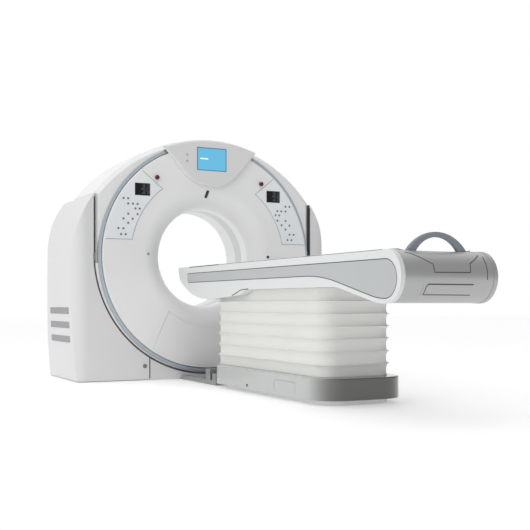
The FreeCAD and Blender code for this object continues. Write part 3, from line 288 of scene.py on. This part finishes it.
ring_tree.links.new(ring_axes.outputs["Z"], height.inputs[0])
ring_tree.links.new(height.outputs[0], square_z.inputs[0])
ring_tree.links.new(square_x.outputs[0], total.inputs[0])
ring_tree.links.new(square_z.outputs[0], total.inputs[1])
ring_tree.links.new(total.outputs[0], radius.inputs[0])
ring_tree.links.new(radius.outputs[0], width.inputs["Value"])
ring_tree.links.new(width.outputs["Result"], band.inputs["Fac"])
ring_tree.links.new(band.outputs["Color"], ring_tree.nodes["Principled BSDF"].inputs["Base Color"])
print("ring ramp stops:", len(band.color_ramp.elements))

# %% [markdown]
# ## Plinth
# The plinth is one glossy enamel. In a real room its foot end mirrors something dark, and that tone runs
# round the corner. There is nothing dark to mirror here, so a darker tone stands in for it: the place along
# the couch, read from the object's own coordinates, blends the two.

# %% Plinth's darker end
DARK_END_REACH, DARK_END_PAST = 0.17, 0.004
plinth_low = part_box("couch_plinth")[0]
plinth_tree = plinth_gloss.node_tree
plinth_shader = plinth_tree.nodes["Principled BSDF"]
side_tone = plinth_shader.inputs["Base Color"].links[0].from_socket
spot_on_plinth = plinth_tree.nodes.new("ShaderNodeTexCoord")
plinth_axes = plinth_tree.nodes.new("ShaderNodeSeparateXYZ")
along_couch = plinth_tree.nodes.new("ShaderNodeMapRange")
along_couch.interpolation_type = "SMOOTHSTEP"
along_couch.inputs["From Min"].default_value = plinth_low.y + DARK_END_REACH
along_couch.inputs["From Max"].default_value = plinth_low.y - DARK_END_PAST
# Painted reflection: the darker tone stands in for what the foot end mirrors in a real room.
painted_reflection_mix = plinth_tree.nodes.new("ShaderNodeMix")
painted_reflection_mix.data_type = "RGBA"
painted_reflection_mix.inputs[MIX_SECOND].default_value = (0.10, 0.102, 0.095, 1)
plinth_tree.links.new(spot_on_plinth.outputs["Object"], plinth_axes.inputs[0])
plinth_tree.links.new(plinth_axes.outputs["Y"], along_couch.inputs["Value"])
plinth_tree.links.new(along_couch.outputs["Result"], painted_reflection_mix.inputs[MIX_FACTOR])
plinth_tree.links.new(side_tone, painted_reflection_mix.inputs[MIX_FIRST])
plinth_tree.links.new(painted_reflection_mix.outputs[MIX_RESULT], plinth_shader.inputs["Base Color"])
print("plinth darkens from", round(plinth_low.y + DARK_END_REACH, 2), "to", round(plinth_low.y, 2))

# %% [markdown]
# ## Screen
# The display is lit from behind, so its colour is emission: sky blue, a little greener at the bottom, with
# one soft pale bar where a status line would be. It carries no words.

# %% Screen finish
screen_blue = finish("screen_blue", (0.05, 0.20, 0.35), rough=0.15, drift=0.02, ripple=0.0)
screen_low, screen_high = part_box("display_screen")
screen_tree = screen_blue.node_tree
screen_shader = screen_tree.nodes["Principled BSDF"]
spot_on_screen = screen_tree.nodes.new("ShaderNodeTexCoord")
screen_axes = screen_tree.nodes.new("ShaderNodeSeparateXYZ")
rise = screen_tree.nodes.new("ShaderNodeMapRange")
rise.inputs["From Min"].default_value = screen_low.z
rise.inputs["From Max"].default_value = screen_high.z
sky = screen_tree.nodes.new("ShaderNodeValToRGB")
sky.color_ramp.elements[0].color = (0.14, 0.50, 0.66, 1)
sky.color_ramp.elements[1].color = (0.16, 0.48, 0.68, 1)
screen_tree.links.new(spot_on_screen.outputs["Object"], screen_axes.inputs[0])
screen_tree.links.new(screen_axes.outputs["Z"], rise.inputs["Value"])
screen_tree.links.new(rise.outputs["Result"], sky.inputs["Fac"])
screen_tree.links.new(sky.outputs["Color"], screen_shader.inputs["Emission Color"])
screen_shader.inputs["Emission Strength"].default_value = 0.72
lit_white = finish("lit_white", (0.75, 0.85, 0.9), rough=0.4, ripple=0.0)
glow(lit_white, (0.8, 0.95, 1.0), 0.4)
print("screen spans", round(screen_high.x - screen_low.x, 3), "by", round(screen_high.z - screen_low.z, 3))

# %% [markdown]
# ## Dress the carried-over pieces
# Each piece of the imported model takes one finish. The table below is read once and applied.

# %% Finish of each piece
DRESS = {
    hood_white: ["hood_cover", "lower_shell"],
    liner_white: ["bore_liners"],
    lock_steel: ["cover_locks"],
    dock_steel: ["docking_rail"],
    pale_key: ["lower_hood_button", "upper_hood_button"],
    foot_pale: ["couch_base_plate"],
    stand_white_shaded: ["left_side_cover", "right_side_cover", "left_rear_cover", "right_rear_cover",
                  "front_skirt", "rear_skirt"],
    disc_white: ["front_cover", "lower_access_panel", "rear_cover"],
    shield_grey: ["display_housing"],
    panel_tint: ["left_control_panel", "right_control_panel"],
    ring_blue: ["light_ring"],
    screen_blue: ["display_screen"],
    window_film: ["scan_window"],
    couch_white: ["couch_body_shell"],
    table_laminate: ["tabletop"],
    inlay_grey: ["side_inlays"],
    silver_paint: ["foot_cover", "foot_hatch"],
    slate_grip: ["table_handle"],
    plinth_gloss: ["couch_plinth"],
    vent_plastic: ["vent_grilles"],
    key_grey: ["panel_keys", "release_cap"],
    button_red: ["left_emergency_button", "right_emergency_button"],
    dark_window: ["readouts", "laser_windows"],
    black_moulding: ["brush_block", "slip_ring"],
    frame_enamel: ["gantry_base", "left_tower", "right_tower", "tilt_drive", "tilt_frame",
                   "high_voltage_generator", "tube_cooler"],
    ground_steel: ["tilt_bearings", "anchor_bolts", "bearing_outer_race", "bearing_inner_race",
                   "bearing_balls", "collimator", "column_outer_tubes", "column_middle_tubes",
                   "column_inner_tubes"],
    cast_aluminium: ["rotor_drum", "xray_tube", "detector", "couch_chassis"],
    bellows_cloth: ["couch_bellows"],
}
for material, names in DRESS.items():
    for name in names:
        nodes[name].data.materials.clear()
        nodes[name].data.materials.append(material)
floor.data.materials.append(floor_white)
dressed = {name for names in DRESS.values() for name in names}
print("not dressed:", sorted(set(nodes) - dressed))

# %% [markdown]
# ## Two finishes on one piece
# Some pieces wear a second finish on part of their surface, as a masked and sprayed moulding does; further
# down, the same means paints shade into the gap round the tilting unit. A mesh can hold two materials, and
# each face says which one it wears, so a helper picks faces by place and direction. The first use is the
# couch's right rim, whose foot end takes the silver of the foot cover next to it and so reads darker than the
# white left rim.


# %% Second finish on chosen faces
def paint_faces(node, material, chosen):
    mesh = nodes[node].data
    mesh.materials.append(material)
    slot_number = len(mesh.materials) - 1
    count = 0
    for face in mesh.polygons:
        if chosen(face.center, face.normal):
            face.material_index = slot_number
            count += 1
    print(node, "has", count, "faces in", material.name)


RIM_FROM_X, RIM_FOOT_END_Y = 0.2805, -3.19
paint_faces("couch_body_shell", silver_paint, lambda c, n: c.x > RIM_FROM_X and c.y < RIM_FOOT_END_Y)

# %% [markdown]
# ## Bellows
# The couch rises out of a pleated bellows of coated cloth. Each pleat hangs nearly flat and ends in a stiff
# welded fold that stands out like a thin fin. One rounded rectangle is extruded upwards level by level, and
# each new level is scaled a little in or out, which is how a bellows is drawn by hand.

# %% Bellows outline
PLEATS = 7
CORNER_ROUND = 0.10
bellows_low, bellows_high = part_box("couch_bellows")
bellows_centre = (bellows_low + bellows_high) / 2
half_across = (bellows_high.x - bellows_low.x) / 2
half_along = (bellows_high.y - bellows_low.y) / 2
bellows_tall = bellows_high.z - bellows_low.z
pleat_pitch = bellows_tall / PLEATS
skin = bmesh.new()
bmesh.ops.create_grid(skin, x_segments=1, y_segments=1, size=1.0)
bmesh.ops.scale(skin, vec=(half_across, half_along, 1), verts=skin.verts)
bmesh.ops.bevel(skin, geom=skin.verts[:], offset=CORNER_ROUND, affect="VERTICES", segments=7,
                profile=0.5, material=-1)
bmesh.ops.delete(skin, geom=skin.faces[:], context="FACES_ONLY")
bmesh.ops.subdivide_edges(skin, edges=[e for e in skin.edges if e.calc_length() > 0.2], cuts=9)
bmesh.ops.translate(skin, vec=(bellows_centre.x, bellows_centre.y, bellows_low.z), verts=skin.verts)
print("outline has", len(skin.verts), "points;", PLEATS, "pleats of", round(pleat_pitch * 1000), "mm")


# %% Pleat levels
def level(mesh, ring, rise, out, last_out):
    made = bmesh.ops.extrude_edge_only(mesh, edges=ring)["geom"]
    corners = [g for g in made if isinstance(g, bmesh.types.BMVert)]
    bmesh.ops.translate(mesh, vec=(0, 0, rise), verts=corners)
    wide = (half_across + out) / (half_across + last_out)
    long = (half_along + out) / (half_along + last_out)
    bmesh.ops.scale(mesh, vec=(wide, long, 1), space=Matrix.Translation(-bellows_centre), verts=corners)
    return [g for g in made if isinstance(g, bmesh.types.BMEdge)]


# Share of the pitch climbed, and how far that level stands out from the cloth's plain line.
PLEAT = [(0.10, -0.003), (0.45, -0.005), (0.80, -0.002), (0.90, 0.004), (0.945, 0.010),
         (0.965, 0.010), (1.0, 0.001)]
ring, out = skin.edges[:], 0.0
for pleat in range(PLEATS):
    climbed = 0.0
    for share, stand in PLEAT:
        if pleat == PLEATS - 1 and share > 0.8:
            stand = 0.0
        ring = level(skin, ring, (share - climbed) * pleat_pitch, stand, out)
        climbed, out = share, stand
bmesh.ops.recalc_face_normals(skin, faces=skin.faces)
print("bellows has", len(skin.faces), "faces")

# %% [markdown]
# The folds are not machined: each sags and creeps by a millimetre or two. The levels are therefore nudged by
# a smooth noise that depends on place, so that the same run always gives the same folds.

# %% Slack in the cloth
SLACK, FADE_OVER = 0.004, 0.03
for corner in skin.verts:
    from_end = min(corner.co.z - bellows_low.z, bellows_high.z - corner.co.z)
    edge_fade = max(0.0, min(1.0, from_end / FADE_OVER))
    slack = noise.noise(Vector((corner.co.x * 4, corner.co.y * 4, corner.co.z * 9)))
    corner.co.z += SLACK * slack * edge_fade
bellows_mesh = bpy.data.meshes.new("pleated_bellows")
skin.to_mesh(bellows_mesh)
skin.free()
bellows_mesh.shade_smooth()
bellows = bpy.data.objects.new("pleated_bellows", bellows_mesh)
bpy.context.scene.collection.objects.link(bellows)
cloth = bellows.modifiers.new("cloth thickness", "SOLIDIFY")
cloth.thickness, cloth.offset = 0.002, -1
bellows.data.materials.append(bellows_cloth)
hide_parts("couch_bellows")
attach(bellows, "couch")
print("bellows mesh has", len(bellows_mesh.vertices), "points")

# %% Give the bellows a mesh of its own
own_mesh(bellows)

# %% [markdown]
# ## Gaps round the tilting unit
# The unit swings inside the stand with a gap of 7 mm, which reads as a black line because the gap lies in
# shade. That shade is painted: the faces that look into the gap take a dark second finish, on the stand's
# covers and on the unit's own sides. On the stand, faces count when they are on the arc under the unit or on
# the upright walls beside it, and when they look back at the unit.

# %% Painted shade on the walls of the gap
SHELL_CENTRE = Vector((0, 0, 0.972))  # middle of the half circle under the unit
GAP_EDGE = 0.9353                     # its radius, where the stand's covers begin
WALL_HALF, WALL_FROM = 0.934, 0.9     # the upright walls: half their distance apart, and where they start
HOOD_SIDE, HOOD_FRONT = 0.9195, -0.2


def faces_the_gap(centre, normal):
    spoke = Vector((centre.x, 0, centre.z)) - SHELL_CENTRE
    looks_inwards = normal.x * centre.x < -0.5 * abs(centre.x)
    on_wall = abs(centre.x) < WALL_HALF and looks_inwards and centre.z > WALL_FROM
    on_arc = spoke.length < GAP_EDGE + 0.004 and spoke.normalized().dot(normal) < -0.8
    clear_of_middle = abs(centre.x) > (0.3 if centre.z > 0.4 else 0.0)
    return clear_of_middle and (on_wall or on_arc)


for name in ("left_side_cover", "right_side_cover", "front_skirt"):
    paint_faces(name, seam_dark_and_gap_shade, faces_the_gap)
# Painted shade on the unit's own sides, beside the gap at its front.
paint_faces("hood_cover", seam_dark_and_gap_shade,
            lambda c, n: abs(c.x) > HOOD_SIDE and c.y < HOOD_FRONT and abs(n.x) > 0.5)
paint_faces("laser_windows", seam_soft, lambda c, n: c.x < 0)

# %% [markdown]
# Two thin dark bands add to the painted shade of the gap, a lip on the unit and a bead on the stand's front
# edge.
# One short edge is spun half a turn under the unit, then drawn up both sides, and the band is given its
# thickness last.


# %% Piece helper
def add_piece(name, mesh, material, body):
    data = bpy.data.meshes.new(name)
    mesh.to_mesh(data)
    mesh.free()
    data.materials.append(material)
    piece = bpy.data.objects.new(name, data)
    bpy.context.scene.collection.objects.link(piece)
    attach(piece, body)


# %% Dark lip and bead: painted shade in the gap
TUCK, TUCK_RISE = 0.9968, 0.004  # above the half circle the band steps in by this share, over this height
# How thick the two dark bands of painted shade are.
GAP_SHADE_THICK = 0.0005


def half_loop(name, ends, top, material, body):
    loop = bmesh.new()
    corners = [loop.verts.new(place) for place in ends]
    start = loop.edges.new(corners)
    spun = bmesh.ops.spin(loop, geom=[start, *corners], cent=SHELL_CENTRE, axis=(0, 1, 0),
                          angle=-math.pi, steps=96)
    last = [g for g in spun["geom_last"] if isinstance(g, bmesh.types.BMEdge)]
    for edge in (start, last[0]):
        for x_scale, rise in ((TUCK, TUCK_RISE), (1.0, top - SHELL_CENTRE.z - TUCK_RISE)):
            up = bmesh.ops.extrude_edge_only(loop, edges=[edge])["geom"]
            corners = [g for g in up if isinstance(g, bmesh.types.BMVert)]
            bmesh.ops.scale(loop, vec=(x_scale, 1, 1), verts=corners)
            bmesh.ops.translate(loop, vec=(0, 0, rise), verts=corners)
            edge = [g for g in up if isinstance(g, bmesh.types.BMEdge)][0]
    bmesh.ops.solidify(loop, geom=loop.faces[:], thickness=GAP_SHADE_THICK)
    print(name, "has", len(loop.faces), "faces")
    add_piece(name, loop, material, body)


half_loop("gap_shade_lip", [(-0.9288, -0.2575, SHELL_CENTRE.z), (-0.9288, -0.215, SHELL_CENTRE.z)],
          1.402, seam_dark_and_gap_shade, "tilting_unit")
half_loop("gap_shade_bead", [(-0.9352, -0.2656, SHELL_CENTRE.z), (-0.9412, -0.2656, SHELL_CENTRE.z)],
          1.398, seam_dark_and_gap_shade, "stand")

# %% [markdown]
# ## Seams
# Panel joints, hatches and the door in the plinth are only 2 or 3 mm wide, too fine to be worth cutting into
# the covers. Each is drawn as a thin dark bead: its corners are joined by short runs, every point is dropped
# on the cover along one direction, and a curve with a round bevel follows them, half sunk into the surface.


# %% Seam helper
FRONT, SIDE = (0, 1, 0), (1, 0, 0)
SEAM_STEP = 0.008  # distance between dropped points
SEAM_SINK = 0.22   # share of the width by which the middle of the bead lies under the surface
DROP_FROM = 6      # metres back from the piece, clear of everything


def seam_line(name, node, corners, along, width, material, body):
    mesh = nodes[node].data
    cover = BVHTree.FromPolygons([v.co for v in mesh.vertices],
                                 [p.vertices[:] for p in mesh.polygons])
    along = Vector(along)
    path = []
    for first, second in zip(corners, corners[1:]):
        first, second = Vector(first), Vector(second)
        steps = max(1, round((second - first).length / SEAM_STEP))
        for step in range(steps + 1):
            start = first.lerp(second, step / steps) - along * DROP_FROM
            spot, facing, _, _ = cover.ray_cast(start, along)
            if spot is not None and (not path or (spot - path[-1]).length > 1e-4):
                path.append(spot - facing * width * SEAM_SINK)
    curve = bpy.data.curves.new(name, "CURVE")
    curve.dimensions = "3D"
    curve.bevel_depth, curve.bevel_resolution = width / 2, 2
    curve.use_fill_caps = True
    run = curve.splines.new("POLY")
    run.points.add(len(path) - 1)
    for point, spot in zip(run.points, path):
        point.co = (*spot, 1)
    curve.materials.append(material)
    piece = bpy.data.objects.new(name, curve)
    bpy.context.scene.collection.objects.link(piece)
    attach(piece, body)
    print(name, "follows", len(path), "points")


# %% [markdown]
# The silver foot cover carries a flap under the handle, a lower hatch and the joint with the right rim.

# %% Foot cover seams
seam_line("flap_seam", "foot_cover",
          [(-0.234, 0, 0.848), (-0.200, 0, 0.838), (-0.165, 0, 0.821), (-0.127, 0, 0.801),
           (-0.1015, 0, 0.788), (-0.1015, 0, 0.7465), (0.1265, 0, 0.7485), (0.136, 0, 0.795),
           (0.222, 0, 0.840)],
          FRONT, 0.007, seam_dark_and_gap_shade, "couch")
seam_line("hatch_seam", "foot_hatch",
          [(0.148, 0, 0.686), (-0.134, 0, 0.686), (-0.146, 0, 0.674), (-0.149, 0, 0.634),
           (0.150, 0, 0.633)],
          FRONT, 0.007, seam_dark_and_gap_shade, "couch")
seam_line("rim_seam", "foot_cover",
          [(0.243, 0, 0.833), (0.240, 0, 0.790), (0.238, 0, 0.753), (0.237, 0, 0.712)],
          FRONT, 0.007, seam_dark_and_gap_shade, "couch")

# %% [markdown]
# Seen from the side, the couch's top joint is wide where two mouldings meet and fine where a lid lies on
# them. A short seam follows the belly, and the plinth carries a door and one screw head.

# %% Couch side seams
seam_line("top_joint_dark", "couch_body_shell", [(-0.3, -0.62, 0.8630), (-0.3, -1.15, 0.8630)],
          SIDE, 0.007, seam_dark_and_gap_shade, "couch")
seam_line("top_joint_fine", "couch_body_shell", [(-0.3, -1.15, 0.8635), (-0.3, -3.16, 0.8635)],
          SIDE, 0.003, seam_dark_and_gap_shade, "couch")
seam_line("belly_seam", "couch_body_shell",
          [(-0.3, -1.37, 0.645), (-0.3, -1.44, 0.662), (-0.3, -1.50, 0.680), (-0.3, -1.62, 0.687)],
          SIDE, 0.007, seam_dark_and_gap_shade, "couch")
seam_line("door_seam", "couch_plinth",
          [(-0.3, -1.987, 0.058), (-0.3, -1.987, 0.122), (-0.3, -2.254, 0.122), (-0.3, -2.254, 0.058)],
          SIDE, 0.004, seam_soft, "stand")
seam_line("plinth_screw", "couch_plinth", [(-0.3, -1.607, 0.064), (-0.3, -1.607, 0.048)],
          SIDE, 0.022, seam_dark_and_gap_shade, "stand")

# %% [markdown]
# The low skirt under the ring is a separate moulding, with an upright joint at each end. The small slanted
# window under the display is a short, wide bead of the same kind.

# %% Skirt seams and the slanted window
for side_name, side in (("left", -1), ("right", 1)):
    seam_line(f"{side_name}_skirt_seam", f"{side_name}_side_cover",
              [(side * 0.4915, 0, 0.012), (side * 0.4915, 0, 0.172)],
              FRONT, 0.011, seam_dark_and_gap_shade, "stand")
seam_line("slanted_window", "front_cover", [(-0.0175, 0, 1.487), (-0.0325, 0, 1.432)],
          FRONT, 0.029, dark_window, "tilting_unit")

# %% [markdown]
# ## Keylines
# A keyline is the thin printed or moulded border of a panel. It must follow the panel exactly, so it is cut
# from the panel itself: the panel's front faces are copied and inset, and only the narrow border is kept.
# A reach, measured from the middle of the bore, leaves out the long outer arc of the control panels.


# %% Keyline helper
KEYLINE_LIFT = 0.0004


def keyline(name, node, facing, width, material, body, reach=9.0):
    border = bmesh.new()
    border.from_mesh(nodes[node].data)
    facing = Vector(facing)
    bmesh.ops.delete(border, geom=[f for f in border.faces if f.normal.dot(facing) < 0.9], context="FACES")
    bmesh.ops.remove_doubles(border, verts=border.verts, dist=1e-5)
    bmesh.ops.dissolve_limit(border, angle_limit=0.01, verts=border.verts, edges=border.edges)
    made = bmesh.ops.inset_region(border, faces=border.faces[:], thickness=width,
                                  use_even_offset=True, use_boundary=True)
    narrow = set(made["faces"])
    outside = [f for f in border.faces
               if f not in narrow or (f.calc_center_median() - ISO).length > reach]
    bmesh.ops.delete(border, geom=outside, context="FACES")
    bmesh.ops.translate(border, vec=facing * KEYLINE_LIFT, verts=border.verts)
    print(name, "has", len(border.faces), "faces")
    add_piece(name, border, material, body)


for side_name in ("left", "right"):
    keyline(f"{side_name}_panel_keyline", f"{side_name}_control_panel", (0, -1, 0), 0.0045,
            seam_soft, "tilting_unit", reach=0.863)
for side_name, side in (("left", -1), ("right", 1)):
    keyline(f"{side_name}_inlay_keyline", "side_inlays", (side, 0, 0), 0.004, seam_dark_and_gap_shade, "couch")
keyline("screen_keyline", "display_screen", (0, -1, 0), 0.006, screen_edge, "tilting_unit")

# %% [markdown]
# ## Figures
# Each black readout shows five rows of plain numbers, as a working scanner does: table height, tilt angle
# and the like. They are set in Blender's own font, turned into a mesh and laid on the glass.


# %% Readout figures
ROWS = "120  1.0\n 80  2.5\n000 15.0\n 75  0.8\n256  4.0"
FIGURE_TALL, LINE_GAP, FIGURE_THICK = 0.020, 0.80, 0.0002
GLASS_LIFT = 0.0004  # how far print lies in front of the glass


def figures(name, corner, material, body):
    text = bpy.data.curves.new(name, "FONT")
    text.body, text.size, text.space_line, text.extrude = ROWS, FIGURE_TALL, LINE_GAP, FIGURE_THICK
    text.align_x = "RIGHT"
    holder = bpy.data.objects.new(name + "_type", text)
    bpy.context.scene.collection.objects.link(holder)
    bpy.context.view_layer.update()
    data = bpy.data.meshes.new_from_object(holder.evaluated_get(bpy.context.evaluated_depsgraph_get()))
    bpy.data.objects.remove(holder)
    data.name = name
    data.transform(Matrix.Translation(corner) @ Matrix.Rotation(math.radians(90), 4, "X"))
    data.materials.clear()
    data.materials.append(material)
    piece = bpy.data.objects.new(name, data)
    bpy.context.scene.collection.objects.link(piece)
    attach(piece, body)
    print(name, "has", len(data.polygons), "faces")


glass_low, glass_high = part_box("readouts")
FIRST_ROW_DROP = 0.0185
for side_name, right_end in (("left", glass_low.x + 0.119), ("right", glass_high.x - 0.003)):
    corner = Vector((right_end, glass_low.y - GLASS_LIFT, glass_high.z - FIRST_ROW_DROP))
    figures(f"{side_name}_figures", corner, figure_grey, "tilting_unit")

# %% [markdown]
# The screen's one bar is a flat strip with rounded corners, laid on the glass in the same way.

# %% Pale bar on the screen
BAR_HALF_LONG, BAR_HALF_TALL, BAR_ROUND, BAR_FROM_LEFT = 0.034, 0.005, 0.004, 0.062
bar = bmesh.new()
bmesh.ops.create_grid(bar, x_segments=1, y_segments=1, size=1)
bmesh.ops.rotate(bar, matrix=Matrix.Rotation(math.radians(90), 3, "X"), verts=bar.verts)
bmesh.ops.scale(bar, vec=(BAR_HALF_LONG, 1, BAR_HALF_TALL), verts=bar.verts)
bar_place = Vector((screen_low.x + BAR_FROM_LEFT, screen_low.y - GLASS_LIFT,
                    (screen_low.z + screen_high.z) / 2 + 0.002))
bmesh.ops.translate(bar, vec=bar_place, verts=bar.verts)
bmesh.ops.bevel(bar, geom=bar.verts[:], offset=BAR_ROUND, affect="VERTICES", segments=4,
                profile=0.5, material=-1)
print("bar has", len(bar.faces), "face")
add_piece("screen_bar", bar, lit_white, "tilting_unit")
